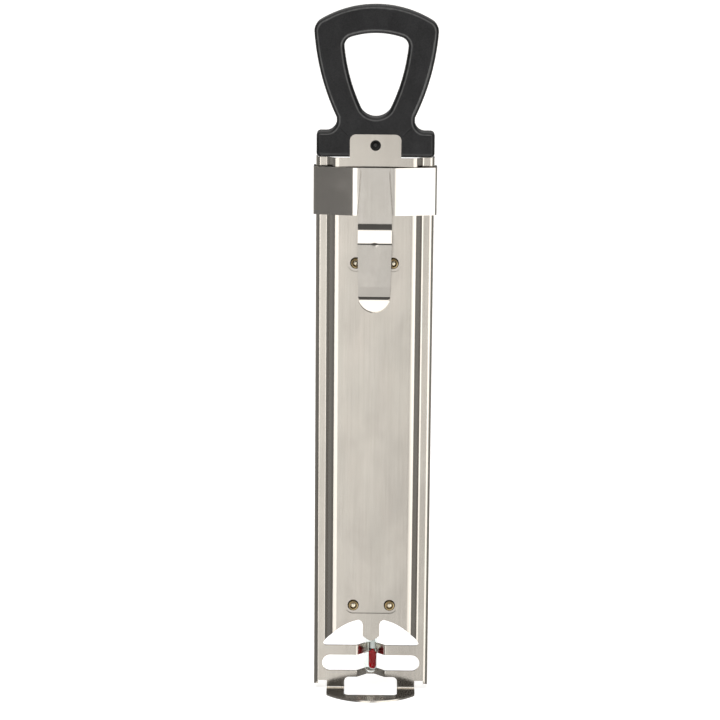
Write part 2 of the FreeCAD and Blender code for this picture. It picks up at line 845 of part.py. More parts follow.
def band_section():
    """Outer face of the band: flat plateau, sloping shoulders, sides and front hooks."""
    half = [
        (size.band_plateau, -size.band_back),
        (size.band_half, -size.band_shoulder),
        (size.band_half, size.band_front),
        (size.band_hook, size.band_front),
    ]
    return [(-x, y) for x, y in half[::-1]] + half


def make_band():
    """Band that wraps the paddle's lips and slides on them, slit for its tongue."""
    body = new_body("clip_band")
    bends = [size.hook_bend, size.band_bend, size.shoulder_bend]
    section = strip(band_section(), size.gauge, bends + bends[::-1])
    sketch = outline_sketch(body, "band_section", "XY", [section], lift=size.band_base)
    pad(body, sketch, size.band_top - size.band_base, "Band")
    slit = mirrored([
        (0.0, size.band_base - size.gauge),
        (size.tongue_half + size.slit_gap, size.band_base - size.gauge),
        (size.tongue_half + size.slit_gap, size.band_base),
        (size.tongue_root_half + size.slit_gap, size.tongue_root + size.slit_gap),
        (0.0, size.tongue_root + size.slit_gap),
    ])
    sketch = outline_sketch(body, "slit", "XZ", [slit], lift=size.band_back + size.gauge)
    pocket(body, sketch, "Slit", size.gauge * 3, both_ways=False)
    return body


def tongue_section():
    """Outer face of the tongue, from its root down to the flared lip."""
    return [
        (-size.band_back, size.tongue_root),
        (-size.band_back, size.tongue_knee),
        (-size.tongue_ridge_y, size.tongue_ridge),
        (-size.tongue_ease_y, size.tongue_ease),
        (-size.tongue_pinch_y, size.tongue_pinch),
        (-size.tongue_end_y, size.tongue_end),
    ]


def make_tongue():
    """Spring tongue: a step out to its ridge, a long run back to the pinch, and a lip."""
    body = new_body("clip_tongue")
    bends = [size.tongue_knee_round, size.tongue_ridge_round, size.tongue_ease_round,
             size.tongue_pinch_round]
    section = strip(tongue_section(), size.gauge, bends)
    sketch = outline_sketch(body, "tongue_section", "YZ", [section])
    pad(body, sketch, size.tongue_half * 3, "Tongue", both_ways=True)
    front = mirrored([
        (0.0, size.tongue_end, size.tongue_end_radius),
        (size.tongue_tip_half, size.tongue_end_side),
        (size.tongue_tip_half, size.tongue_pinch),
        (size.tongue_half, size.tongue_ridge),
        (size.tongue_half, size.band_base),
        (size.tongue_root_half, size.tongue_root),
        (0.0, size.tongue_root),
    ])
    spare = rectangle(-size.band_half, size.band_half, size.tongue_end - size.foot_reach,
                      size.tongue_root + size.foot_reach)
    sketch = outline_sketch(body, "tongue_front", "XZ", [spare, front])
    pocket(body, sketch, "TongueOutline")
    return body


# --------------------------------------------------------------------- assembly

def make_pieces():
    pieces = [make_plate(), make_handle(), make_pin(), make_envelope(), make_stem(), make_plug(),
              make_liquid(), make_column(), make_meniscus(), make_band(), make_tongue()]
    for level, height in (("upper", size.rivet_upper), ("lower", size.rivet_lower)):
        pieces.append(make_strap(f"{level}_tube_strap", height))
        for side, x in (("left", -size.rivet_half_spacing), ("right", size.rivet_half_spacing)):
            pieces.append(make_rivet(f"rivet_{level}_{side}", x, height))
    return pieces


def check_and_write(pieces):
    """Refuse to write anything if an object has failed or a piece is not one sound solid."""
    doc.recompute()
    failed = [item.Label for item in doc.Objects if {"Invalid", "Error"} & set(item.State)]
    for piece in pieces:
        if piece.Shape.isNull() or not piece.Shape.isValid() or len(piece.Shape.Solids) != 1:
            failed.append(piece.Label)
    if failed:
        raise RuntimeError(f"failed: {failed}")
    os.makedirs("parts", exist_ok=True)
    for piece in pieces:
        piece.Shape.exportStep(f"parts/{piece.Label}.step")
        box = piece.Shape.BoundBox
        print(f"{piece.Label:20s} {piece.Shape.Volume:9.1f} mm3  {box}")


check_and_write(make_pieces())
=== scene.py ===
"""Studio picture of a paddle cooking thermometer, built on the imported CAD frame.

Lengths are millimetres until a mesh is written, which is in metres.
"""
import math

import bmesh
import bpy
from mathutils import Matrix, Vector


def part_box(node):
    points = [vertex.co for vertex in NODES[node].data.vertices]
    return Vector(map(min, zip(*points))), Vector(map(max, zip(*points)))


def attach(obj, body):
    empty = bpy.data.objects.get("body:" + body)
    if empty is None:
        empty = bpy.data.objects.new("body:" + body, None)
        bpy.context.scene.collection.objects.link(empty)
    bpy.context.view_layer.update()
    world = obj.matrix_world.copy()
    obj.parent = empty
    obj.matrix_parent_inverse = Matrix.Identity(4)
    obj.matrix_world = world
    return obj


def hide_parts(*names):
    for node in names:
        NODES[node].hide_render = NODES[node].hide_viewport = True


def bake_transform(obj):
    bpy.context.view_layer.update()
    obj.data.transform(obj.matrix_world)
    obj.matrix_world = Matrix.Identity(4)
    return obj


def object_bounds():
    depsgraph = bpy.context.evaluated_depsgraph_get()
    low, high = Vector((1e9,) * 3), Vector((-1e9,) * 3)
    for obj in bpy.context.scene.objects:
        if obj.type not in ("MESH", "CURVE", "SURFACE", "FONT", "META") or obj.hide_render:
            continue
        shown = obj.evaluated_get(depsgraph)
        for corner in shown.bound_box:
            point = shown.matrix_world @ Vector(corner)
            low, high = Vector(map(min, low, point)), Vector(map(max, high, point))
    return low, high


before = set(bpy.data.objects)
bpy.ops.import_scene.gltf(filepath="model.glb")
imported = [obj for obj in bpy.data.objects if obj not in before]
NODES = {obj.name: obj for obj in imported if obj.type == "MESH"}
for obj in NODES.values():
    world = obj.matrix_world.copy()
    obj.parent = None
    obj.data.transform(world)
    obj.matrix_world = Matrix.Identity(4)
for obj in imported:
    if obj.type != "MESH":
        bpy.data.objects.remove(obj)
CAD_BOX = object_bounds()
MM = 0.001

# Camera: a long lens about a metre from the paddle's back, looking a little down on it.
VIEW_DISTANCE = 1.0
VIEW_DOWN = math.radians(11.2)
VIEW_ROLL = math.radians(0.55)
AIM_Y, AIM_LIFT = 5.3, 0.2
LENS = 114.5
SENSOR = 36.0
VIEW_SHIFT = (-0.018889, -0.005139)  # in widths of the frame

GAUGE = 0.8
PIN_RADIUS = 1.6
TURNS = 72
MIX_FIRST, MIX_SECOND, MIX_RESULT = 6, 7, 2  # a Mix node's colour sockets


def box_mm(node):
    """Lowest and highest corner of a CAD node, in millimetres."""
    low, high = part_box(node)
    return Vector(low) / MM, Vector(high) / MM


# ------------------------------------------------------------------ material nodes

class Nodes:
    """A node tree under construction, with short calls for the nodes it needs."""

    def __init__(self, tree):
        self.tree = tree

    def node(self, kind, **settings):
        made = self.tree.nodes.new(kind)
        for key, value in settings.items():
            setattr(made, key, value)
        return made

    def feed(self, socket, source):
        """Link a source into a socket, or set the socket when the source is a number."""
        if isinstance(source, bpy.types.NodeSocket):
            self.tree.links.new(source, socket)
        else:
            socket.default_value = source

    def ramp(self, source, stops):
        """Colour or grey ramp. A stop is (position, colour or grey)."""
        ramp = self.node("ShaderNodeValToRGB")
        self.feed(ramp.inputs["Fac"], source)
        elements = ramp.color_ramp.elements
        while len(elements) < len(stops):
            elements.new(0.5)
        for element, (position, colour) in zip(elements, stops):
            element.position = position
            element.color = grey(colour)
        return ramp.outputs["Color"]

    def math(self, operation, *terms, clamp=False):
        made = self.node("ShaderNodeMath", operation=operation, use_clamp=clamp)
        for socket, term in zip(made.inputs, terms):
            self.feed(socket, term)
        return made.outputs["Value"]

    def mix(self, factor, first, second, blend="MIX"):
        made = self.node("ShaderNodeMix", data_type="RGBA", blend_type=blend)
        self.feed(made.inputs["Factor"], factor)
        for socket, source in ((made.inputs[MIX_FIRST], first), (made.inputs[MIX_SECOND], second)):
            is_link = isinstance(source, bpy.types.NodeSocket)
            self.feed(socket, source if is_link else grey(source))
        return made.outputs[MIX_RESULT]

    def spread(self, source, low, high):
        """A value from 0 to 1 stretched to run from low to high."""
        return self.math("MULTIPLY_ADD", source, high - low, low)


class Finish(Nodes):
    """A node material: its shader, its place on the object, and its textures."""

    def __init__(self, name, **sockets):
        self.material = bpy.data.materials.new(name)
        self.material.use_nodes = True
        super().__init__(self.material.node_tree)
        self.shader = self.tree.nodes["Principled BSDF"]
        self.place = self.node("ShaderNodeTexCoord").outputs["Object"]
        for socket, value in sockets.items():
            self.shader.inputs[socket.replace("_", " ")].default_value = value

    def noise(self, cell, detail=2.0, roughness=0.5, seed=0.0, spread=0.0):
        """Noise from 0 to 1 whose cells measure cell = (x, y, z) millimetres."""
        mapping = self.node("ShaderNodeMapping")
        mapping.inputs["Scale"].default_value = [1 / (size * MM) for size in cell]
        mapping.inputs["Location"].default_value = (seed, seed * 1.7, seed * 0.6)
        self.feed(mapping.inputs["Vector"], self.place)
        noise = self.node("ShaderNodeTexNoise")
        self.feed(noise.inputs["Vector"], mapping.outputs["Vector"])
        for key, value in (("Scale", 1.0), ("Detail", detail), ("Roughness", roughness),
                           ("Distortion", spread)):
            noise.inputs[key].default_value = value
        return noise.outputs["Fac"]

    def axis(self, name):
        parts = self.node("ShaderNodeSeparateXYZ")
        self.feed(parts.inputs["Vector"], self.place)
        return parts.outputs[name]

    def radius(self, unit):
        """Distance from the object's own Y axis, as a share of unit millimetres."""
        squares = [self.math("POWER", self.axis(name), 2.0) for name in ("X", "Z")]
        return self.math("DIVIDE", self.math("SQRT", self.math("ADD", *squares)), unit * MM)

    def bump(self, height, depth, strength=1.0):
        """Bump whose height runs from 0 to 1 over depth millimetres. Calls add up."""
        made = self.node("ShaderNodeBump")
        made.inputs["Distance"].default_value = depth * MM
        made.inputs["Strength"].default_value = strength
        self.feed(made.inputs["Height"], height)
        if self.shader.inputs["Normal"].is_linked:
            self.feed(made.inputs["Normal"], self.shader.inputs["Normal"].links[0].from_socket)
        self.feed(self.shader.inputs["Normal"], made.outputs["Normal"])


def grey(colour):
    """RGBA of a grey level or of an RGB colour."""
    if isinstance(colour, (int, float)):
        return (colour, colour, colour, 1.0)
    return (*colour[:3], 1.0)


def brushed_steel(name, dark, light, rough, grain, cloud_cell, anisotropy):
    """Stainless sheet brushed along Z: fine lines, broad streaks and handled patches."""
    steel = Finish(name, Metallic=1.0, Anisotropic=anisotropy)
    lines = steel.noise((0.16, 0.16, 14.0), detail=3.0, roughness=0.7)
    streaks = steel.noise((0.75, 0.75, 60.0), detail=2.0, seed=3.1)
    clouds = steel.noise(cloud_cell, detail=3.0, roughness=0.55, seed=7.7, spread=0.4)
    specks = steel.noise((0.5, 0.5, 0.9), detail=2.0, seed=5.3)

    tone = steel.math("ADD", steel.spread(streaks, 0.0, 0.3), steel.spread(clouds, 0.0, 0.55))
    tone = steel.math("ADD", tone, steel.spread(lines, 0.0, 0.15))
    base = steel.ramp(tone, [(0.25, dark), (0.75, light)])
    tint = steel.noise((9.0, 9.0, 34.0), detail=2.0, seed=11.9)
    tinted = steel.mix(steel.spread(tint, 0.0, 0.5), base, (0.94, 0.97, 0.95), "MULTIPLY")
    warm = steel.noise((7.0, 7.0, 21.0), detail=2.0, seed=17.2)
    tinted = steel.mix(steel.spread(warm, 0.0, 0.5), tinted, (1.0, 0.955, 0.93), "MULTIPLY")
    steel.feed(steel.shader.inputs["Base Color"], tinted)

    gloss = steel.math("ADD", steel.spread(lines, -grain, grain), rough)
    gloss = steel.math("ADD", gloss, steel.spread(clouds, -0.05, 0.05))
    gloss = steel.math("ADD", gloss, steel.spread(specks, -0.02, 0.02), clamp=True)
    steel.feed(steel.shader.inputs["Roughness"], gloss)
    steel.bump(lines, 0.002, 0.4)
    steel.bump(streaks, 0.003, 0.3)
    steel.bump(steel.noise((16.0, 16.0, 40.0), seed=23.0), 0.05, 0.3)
    tangent = steel.node("ShaderNodeTangent", direction_type="RADIAL", axis="Z")
    steel.feed(steel.shader.inputs["Tangent"], tangent.outputs["Tangent"])
    return steel.material


def black_plastic(name, highlight_faint_below):
    """Near-black moulded plastic: fine spark grain, faint flow, and a painted highlight line along
    the rounded edges.

    The painted edge highlight is faint below the height given, in metres.
    """
    plastic = Finish(name, Specular_IOR_Level=0.42)
    grain = plastic.noise((0.16, 0.16, 0.16), detail=3.0, roughness=0.6)
    flow = plastic.noise((7.0, 7.0, 12.0), detail=3.0, seed=2.2, spread=0.6)
    scuffs = plastic.noise((0.4, 0.4, 6.0), detail=2.0, seed=9.4)
    speckle = plastic.noise((0.55, 0.55, 0.55), detail=3.0, roughness=0.65, seed=3.3)
    tone = plastic.math("ADD", plastic.spread(grain, 0.0, 0.2), plastic.spread(flow, 0.0, 0.35))
    tone = plastic.math("ADD", tone, plastic.spread(speckle, 0.0, 0.45))
    base = plastic.ramp(tone, [(0.36, (0.003, 0.003, 0.004)), (0.66, (0.025, 0.025, 0.027))])
    shape = plastic.node("ShaderNodeNewGeometry")
    lean = plastic.node("ShaderNodeSeparateXYZ")
    plastic.feed(lean.inputs["Vector"], shape.outputs["Normal"])
    facing = plastic.math("ABSOLUTE", lean.outputs["Y"])
    # Painted highlight: a lighter colour on the rounded edges where their normal leans a little
    # from the face.
    painted_edge_highlight = plastic.ramp(facing, [(0.84, 0.0), (0.93, 1.0), (0.975, 1.0), (0.998, 0.0)])
    patchy = plastic.spread(plastic.noise((1.2, 1.2, 3.0), detail=3.0, seed=6.1), 0.2, 1.0)
    painted_edge_highlight = plastic.math("MULTIPLY", painted_edge_highlight, patchy)
    # The painted edge highlight keeps a fifth of its strength below the given height.
    upper = plastic.math("GREATER_THAN", plastic.axis("Z"), highlight_faint_below)
    painted_edge_highlight = plastic.math("MULTIPLY", painted_edge_highlight, plastic.spread(upper, 0.2, 1.0))
    # Mix in the painted highlight's pale grey.
    base = plastic.mix(painted_edge_highlight, base, (0.16, 0.16, 0.158))
    plastic.feed(plastic.shader.inputs["Base Color"], base)
    gloss = plastic.math("ADD", plastic.spread(grain, -0.06, 0.06), 0.42)
    gloss = plastic.math("ADD", gloss, plastic.spread(flow, -0.06, 0.06))
    gloss = plastic.math("ADD", gloss, plastic.spread(scuffs, -0.05, 0.05))
    plastic.feed(plastic.shader.inputs["Roughness"], gloss)
    plastic.bump(grain, 0.02, 0.5)
    plastic.bump(flow, 0.08, 0.3)
    return plastic


def handle_plastic():
    """The handle's plastic, with the faint weld lines that run from its necks to the window."""
    low, high = box_mm("handle")
    # The painted edge highlight is faint on the lowest 9.5 mm of the handle.
    plastic = black_plastic("handle_plastic", highlight_faint_below=(low.z + 9.5) * MM)
    across = plastic.math("ABSOLUTE", plastic.axis("X"))
    rise = plastic.math("SUBTRACT", plastic.axis("Z"), (low.z + 9.0) * MM)
    lean = plastic.math("SUBTRACT", plastic.math("SUBTRACT", across, 11.4 * MM), rise)
    near = plastic.math("ABSOLUTE", lean)
    line = plastic.ramp(plastic.math("DIVIDE", near, 0.7 * MM), [(0.0, 0.0), (1.0, 1.0)])
    start = plastic.ramp(plastic.math("DIVIDE", rise, 8.0 * MM),
                         [(0.0, 1.0), (0.04, 0.0), (0.82, 0.0), (1.0, 1.0)])
    crease = plastic.math("MAXIMUM", line, start)
    plastic.bump(crease, 0.10, 0.7)
    return plastic.material


def pin_plastic():
    """Black peg with painted light in its colour: a paler centre that is a painted glint, and a
    near-black ring out towards its edge that is painted shade.
    """
    peg = Finish("pin_plastic", Specular_IOR_Level=0.3)
    fleck = peg.noise((0.35, 0.35, 0.35), detail=3.0)
    radius = peg.math("ADD", peg.radius(PIN_RADIUS), peg.spread(fleck, -0.12, 0.12))
    # Painted glint in the centre, painted shade in the near-black ring round it.
    base = peg.ramp(radius, [
        (0.0, 0.05), (0.36, 0.045), (0.52, 0.0015), (0.92, 0.001), (1.0, 0.02),
    ])
    peg.feed(peg.shader.inputs["Base Color"], base)
    peg.feed(peg.shader.inputs["Roughness"], peg.spread(fleck, 0.3, 0.5))
    peg.bump(fleck, 0.02, 0.5)
    return peg.material


def rivet_metal():
    """Nickel-washed brass with painted light in its colour: a bright centre that is a painted
    reflection in the bore, a brown roll darkened by painted shade at its inner and outer edges,
    and a gold band of painted highlight on the roll.
    """
    brass = Finish("rivet_metal", Metallic=1.0)
    wobble = brass.noise((0.6, 0.6, 0.6), detail=3.0)
    radius = brass.math("ADD", brass.radius(2.6), brass.spread(wobble, -0.06, 0.06))
    # Painted light by radius: reflection in the bore, shade at the roll's edges, highlight on the
    # roll.
    base = brass.ramp(radius, [
        (0.0, (0.93, 0.87, 0.72)), (0.38, (0.93, 0.86, 0.70)), (0.47, (0.16, 0.10, 0.045)),
        (0.60, (0.28, 0.20, 0.10)), (0.74, (0.46, 0.36, 0.20)), (0.88, (0.07, 0.045, 0.02)),
    ])
    spots = brass.noise((0.25, 0.25, 0.25), detail=2.0, seed=4.0)
    base = brass.mix(brass.spread(spots, 0.0, 0.4), base, (0.62, 0.55, 0.44), "MULTIPLY")
    brass.feed(brass.shader.inputs["Base Color"], base)
    brass.feed(brass.shader.inputs["Roughness"], brass.spread(spots, 0.18, 0.42))
    brass.bump(wobble, 0.05, 0.5)
    return brass.material


def glass(name, tint, waves, ior):
    """Drawn glass tube: clear, with long shallow waves and a little dust."""
    clear = Finish(name, Transmission_Weight=1.0, IOR=ior)
    dust = clear.noise((0.5, 0.5, 1.2), detail=3.0)
    clear.feed(clear.shader.inputs["Base Color"],
               clear.ramp(dust, [(0.3, tint), (0.7, (0.94, 0.955, 0.95))]))
    clear.feed(clear.shader.inputs["Roughness"],
               clear.ramp(dust, [(0.45, 0.0), (0.8, 0.07)]))
    clear.bump(clear.noise((1.5, 1.5, 18.0), seed=2.0), waves, 0.3)
    return clear.material


def red_spirit():
    spirit = Finish("red_spirit_dye", IOR=1.36, Specular_IOR_Level=0.1)
    depth = spirit.noise((1.1, 1.1, 2.6), detail=2.0)
    spirit.feed(spirit.shader.inputs["Base Color"],
                spirit.ramp(depth, [(0.3, (0.24, 0.0005, 0.002)), (0.7, (0.46, 0.001, 0.004))]))
    spirit.feed(spirit.shader.inputs["Roughness"], spirit.spread(depth, 0.06, 0.16))
    spirit.bump(depth, 0.02, 0.2)
    return spirit.material


def white_enamel():
    """Opaque white backing fired into the stem behind the thread."""
    enamel = Finish("white_enamel", Specular_IOR_Level=0.4)
    milk = enamel.noise((1.5, 1.5, 8.0), detail=3.0)
    enamel.feed(enamel.shader.inputs["Base Color"],
                enamel.ramp(milk, [(0.3, (0.80, 0.80, 0.78)), (0.7, (0.90, 0.90, 0.88))]))
    enamel.feed(enamel.shader.inputs["Roughness"], enamel.spread(milk, 0.25, 0.45))
    enamel.bump(milk, 0.01, 0.3)
    return enamel.material


def plug_rubber():
    rubber = Finish("plug_rubber", Specular_IOR_Level=0.3)
    pores = rubber.noise((0.3, 0.3, 0.3), detail=3.0)
    stains = rubber.noise((2.0, 2.0, 2.0), detail=2.0, seed=1.5)
    base = rubber.ramp(stains, [(0.3, (0.62, 0.61, 0.57)), (0.7, (0.78, 0.77, 0.73))])
    base = rubber.mix(rubber.spread(pores, 0.0, 0.3), base, (0.6, 0.6, 0.58), "MULTIPLY")
    rubber.feed(rubber.shader.inputs["Base Color"], base)
    rubber.feed(rubber.shader.inputs["Roughness"], rubber.spread(pores, 0.6, 0.85))
    rubber.bump(pores, 0.04, 0.6)
    return rubber.material


def scale_ink():
    """Black screen-printed ink, a little thin and worn in places."""
    ink = Finish("scale_ink", Specular_IOR_Level=0.35)
    wear = ink.noise((0.22, 0.22, 0.22), detail=3.0)
    ink.feed(ink.shader.inputs["Base Color"],
             ink.ramp(wear, [(0.35, (0.014, 0.014, 0.016)), (0.8, (0.07, 0.07, 0.07))]))
    ink.feed(ink.shader.inputs["Roughness"], ink.spread(wear, 0.4, 0.6))
    ink.bump(wear, 0.004, 0.4)
    return ink.material


# ---------------------------------------------------------------------- mesh helpers

def piece(name, mesh, material, body, replaced=(), place=(0.0, 0.0, 0.0)):
    """Make an object of a finished mesh (in metres), with its material, on its body, hiding the
    CAD nodes it replaces.
    """
    made = bpy.data.objects.new(name, mesh)
    made.location = place
    bpy.context.collection.objects.link(made)
    mesh.materials.clear()
    mesh.materials.append(material)
    bpy.context.view_layer.update()
    if body:
        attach(made, body)
    if replaced:
        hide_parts(*replaced)
    return made


def bevelled(mesh, width, segments=2, angle=40.0):
    """The mesh with its hard edges rounded, smooth-shaded."""
    scratch = bpy.data.objects.new("scratch", mesh)
    bpy.context.collection.objects.link(scratch)
    rounding = scratch.modifiers.new("rounding", "BEVEL")
    rounding.width = width * MM
    rounding.segments = segments
    rounding.limit_method = "ANGLE"
    rounding.angle_limit = math.radians(angle)
    rounding.harden_normals = True
    weighted = scratch.modifiers.new("weighted", "WEIGHTED_NORMAL")
    weighted.keep_sharp = True
    for face in mesh.polygons:
        face.use_smooth = True
    graph = bpy.context.evaluated_depsgraph_get()
    result = bpy.data.meshes.new_from_object(scratch.evaluated_get(graph))
    bpy.data.objects.remove(scratch)
    return result


def mesh_of(name, points, faces):
    """A mesh in metres from points in millimetres, with its normals facing outwards."""
    mesh = bpy.data.meshes.new(name)
    made = bmesh.new()
    verts = [made.verts.new(Vector(point) * MM) for point in points]
    for face in faces:
        corners = [verts[index] for index in face]
        if len(set(face)) > 2:
            made.faces.new(corners)
    bmesh.ops.remove_doubles(made, verts=made.verts, dist=1e-7)
    bmesh.ops.recalc_face_normals(made, faces=made.faces)
    made.to_mesh(mesh)
    made.free()
    return mesh


def lathe(name, profile, centre=(0.0, 0.0), axis="Z", turns=TURNS, sharp=30.0):
    """A closed surface of revolution from (radius, height) points, both ends on the axis."""
    points = []
    for radius, height in profile:
        for turn in range(turns):
            angle = 2 * math.pi * turn / turns
            a, b = radius * math.cos(angle), radius * math.sin(angle)
            spot = (a, b, height) if axis == "Z" else (a, height, b)
            points.append((spot[0] + centre[0], spot[1] + centre[1], spot[2]))
    faces = []
    for ring in range(len(profile) - 1):
        for turn in range(turns):
            after = (turn + 1) % turns
            low, high = ring * turns, (ring + 1) * turns
            faces.append((low + turn, low + after, high + after, high + turn))
    mesh = mesh_of(name, points, faces)
    for face in mesh.polygons:
        face.use_smooth = True
    mesh.set_sharp_from_angle(angle=math.radians(sharp))
    return mesh


def arc(centre, radius, start, end, steps=8):
    """Points of an arc, with its angles in degrees."""
    angles = [math.radians(start + (end - start) * k / steps) for k in range(steps + 1)]
    return [(centre[0] + radius * math.cos(a), centre[1] + radius * math.sin(a)) for a in angles]


def bent(corners, radii, steps=7):
    """A polyline whose inner corners are rounded to the radii given."""
    flat = [Vector(corner) for corner in corners]
    path = [flat[0]]
    for index, radius in enumerate(radii, start=1):
        before = (flat[index] - flat[index - 1]).normalized()
        after = (flat[index + 1] - flat[index]).normalized()
        turn = before.angle_signed(after)
        reach = radius * math.tan(abs(turn) / 2)
        start = flat[index] - before * reach
        end = flat[index] + after * reach
        for k in range(steps + 1):
            t = k / steps
            path.append(start * (1 - t) ** 2 + flat[index] * 2 * t * (1 - t) + end * t * t)
    path.append(flat[-1])
    return path


def sampled(path, step):
    """The path with extra points on its long runs, at most step apart."""
    result = [path[0]]
    for point in path[1:]:
        count = max(1, math.ceil((point - result[-1]).length / step))
        start = result[-1]
        result += [start.lerp(point, k / count) for k in range(1, count + 1)]
    return result


def path_normals(path):
    """Unit normals to the left of a path, averaged at its points."""
    normals = []
    for index in range(len(path)):
        before = path[index] - path[max(index - 1, 0)]
        after = path[min(index + 1, len(path) - 1)] - path[index]
        along = (before.normalized() + after.normalized()).normalized()
        normals.append(Vector((-along.y, along.x)))
    return normals


def shell(name, outer, inner):
    """A sheet from two equal grids of points: both faces, and walls along all four sides."""
    rows, columns = len(outer), len(outer[0])
    points = [spot for grid in (outer, inner) for row in grid for spot in row]
    step = rows * columns
    faces = []
    for row in range(rows - 1):
        for column in range(columns - 1):
            first = row * columns + column
            quad = (first, first + 1, first + columns + 1, first + columns)
            faces.append(quad)
            faces.append(tuple(index + step for index in quad[::-1]))
    rim = [(0, column) for column in range(columns)]
    rim += [(row, columns - 1) for row in range(1, rows)]
    rim += [(rows - 1, column) for column in range(columns - 2, -1, -1)]
    rim += [(row, 0) for row in range(rows - 2, 0, -1)]
    spots = [row * columns + column for row, column in rim]
    for here, there in zip(spots, spots[1:] + spots[:1]):
        faces.append((here, there, there + step, here + step))
    return mesh_of(name, points, faces)


# ---------------------------------------------------------------------- the pan clip

BAND_LOW, BAND_HIGH = box_mm("clip_band")
TONGUE_LOW, TONGUE_HIGH = box_mm("clip_tongue")
SLIT = 0.42
ROOT_HALF = 5.9
BASE_HALF = 7.3
PLATEAU_HALF = 8.7
SHOULDER_DROP = 3.8
HOOK_LENGTH = 4.0
TIP_HALF = 6.9
LIP_RADIUS = 7.4
LIP_RISE = 4.4
PIP_HEIGHT, PIP_WIDE, PIP_TALL = 0.22, 0.9, 0.5


def slit_edge(z):
    """Where the band begins beside the tongue, at height z."""
    share = (z - BAND_LOW.z) / (TONGUE_HIGH.z + SLIT - BAND_LOW.z)
    share = min(max(share, 0.0), 1.0)
    return SLIT + BASE_HALF + (ROOT_HALF - BASE_HALF) * share


def on_path(path, x):
    """The point of a path, which runs towards +X here, at x."""
    for before, after in zip(path, path[1:]):
        if before.x <= x <= after.x:
            return before.lerp(after, (x - before.x) / max(after.x - before.x, 1e-9))
    return path[0].copy()


def make_band(material):
    """Both wings of the band, from the slit round the paddle's lips to the front hooks."""
    half = BAND_HIGH.x
    section = [
        (ROOT_HALF + SLIT, BAND_LOW.y),
        (PLATEAU_HALF, BAND_LOW.y),
        (half, BAND_LOW.y + SHOULDER_DROP),
        (half, BAND_HIGH.y),
        (half - HOOK_LENGTH, BAND_HIGH.y),
    ]
    path = sampled(bent(section, [12.8, 1.8, 1.2]), 1.6)
    fixed = PLATEAU_HALF + 1.0
    heights = [BAND_LOW.z + (BAND_HIGH.z - BAND_LOW.z) * k / 16 for k in range(17)]
    made = bpy.data.meshes.new("band")
    joined = bmesh.new()
    for side in (-1, 1):
        outer, inner = [], []
        for z in heights:
            squeeze = (fixed - slit_edge(z)) / (fixed - path[0].x)
            spots = [on_path(path, fixed - (fixed - p.x) * squeeze) if p.x < fixed else p
                     for p in path]
            row = list(zip(spots, path_normals(spots)))
            outer.append([(side * p.x, p.y, z) for p, n in row])
            inner.append([(side * (p.x + n.x * GAUGE), p.y + n.y * GAUGE, z) for p, n in row])
        wing = shell("wing", outer, inner)
        joined.from_mesh(wing)
        bpy.data.meshes.remove(wing)
    joined.to_mesh(made)
    joined.free()
    mesh = bevelled(made, 0.09)
    piece("pan_clip_band", mesh, material, "clip", ["clip_band"])


def make_tongue(material):
    """Spring tongue in one sheet with the band: step, ridge with a pip, pinch and lip."""
    top = BAND_HIGH.z
    back = BAND_LOW.y
    end = TONGUE_LOW.z
    knee, ridge, ease, pinch = (TONGUE_HIGH.z - drop for drop in (24.4, 30.6, 49.8, 55.0))
    profile = [
        (back, top), (back, knee), (back - 5.7, ridge), (back - 0.2, ease),
        (back + 0.5, pinch), (back - 4.1, end),
    ]
    path = sampled(bent(profile, [5.2, 1.3, 6.0, 2.8]), 0.9)
    widths = [(end, 0.0), (pinch, TIP_HALF), (ridge, BASE_HALF), (BAND_LOW.z, BASE_HALF),
              (TONGUE_HIGH.z - 0.4, ROOT_HALF), (TONGUE_HIGH.z + SLIT, ROOT_HALF + SLIT),
              (top, ROOT_HALF + SLIT)]

    def half_width(z):
        if z < end + LIP_RISE:
            reach = max(LIP_RADIUS ** 2 - (end + LIP_RADIUS - z) ** 2, 0.0)
            return min(math.sqrt(reach), TIP_HALF)
        for (low, narrow), (high, wide) in zip(widths, widths[1:]):
            if low <= z <= high:
                return narrow + (wide - narrow) * (z - low) / (high - low)
        return ROOT_HALF + SLIT

    tail = [point for point in path if point.y > end + 1.2]
    last = tail[-1]
    for share in (0.3, 0.55, 0.75, 0.88, 0.95, 0.985, 1.0):
        tail.append(last.lerp(path[-1], share))
    path = tail
    normals = path_normals(path)
    columns = 40
    outer, inner = [], []
    for spot, normal in zip(path, normals):
        half = half_width(spot.y)
        front, rear = [], []
        for column in range(columns + 1):
            x = half * (column / columns * 2 - 1)
            spread = (x / PIP_WIDE) ** 2 + ((spot.y - ridge) / PIP_TALL) ** 2
            pip = PIP_HEIGHT * math.exp(-spread)
            front.append((x, spot.x + pip, spot.y))
            rear.append((x, spot.x + pip + normal.x * GAUGE, spot.y + normal.y * GAUGE))
        outer.append(front)
        inner.append(rear)
    mesh = bevelled(shell("tongue", outer, inner), 0.09, angle=50.0)
    tongue = piece("pan_clip_tongue", mesh, material, None, ["clip_tongue"])
    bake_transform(tongue)


# ------------------------------------------------------------- rivets, pin and tube

def make_rivet(node, material):
    """Tubular rivet: low head on the strap, and behind it an end rolled over its bore."""
    low, high = box_mm(node)
    seat, shoulder = low.y + 0.65, high.y - 0.95
    shank, roll, head = 1.25, 2.48, 2.5
    profile = [(0.0, low.y + 0.46), (0.35, low.y + 0.44), (0.8, low.y + 0.50)]
    profile += [(1.02, low.y + 0.60), (1.12, low.y + 0.5)]
    profile += [(1.22, low.y + 0.22), (1.38, low.y + 0.06), (1.6, low.y), (1.88, low.y + 0.02)]
    profile += [(2.18, low.y + 0.12), (2.4, low.y + 0.32), (roll, low.y + 0.5), (2.42, seat)]
    profile += [(shank, seat), (shank, shoulder), (head, shoulder), (head, high.y - 0.65)]
    profile += [(2.3, high.y - 0.42), (1.8, high.y - 0.2), (1.1, high.y - 0.06), (0.0, high.y)]
    middle = (low + high) / 2
    mesh = lathe(node, profile, axis="Y", turns=48)
    piece(f"tubular_{node}", mesh, material, "paddle", [node],
          place=(middle.x * MM, 0.0, middle.z * MM))


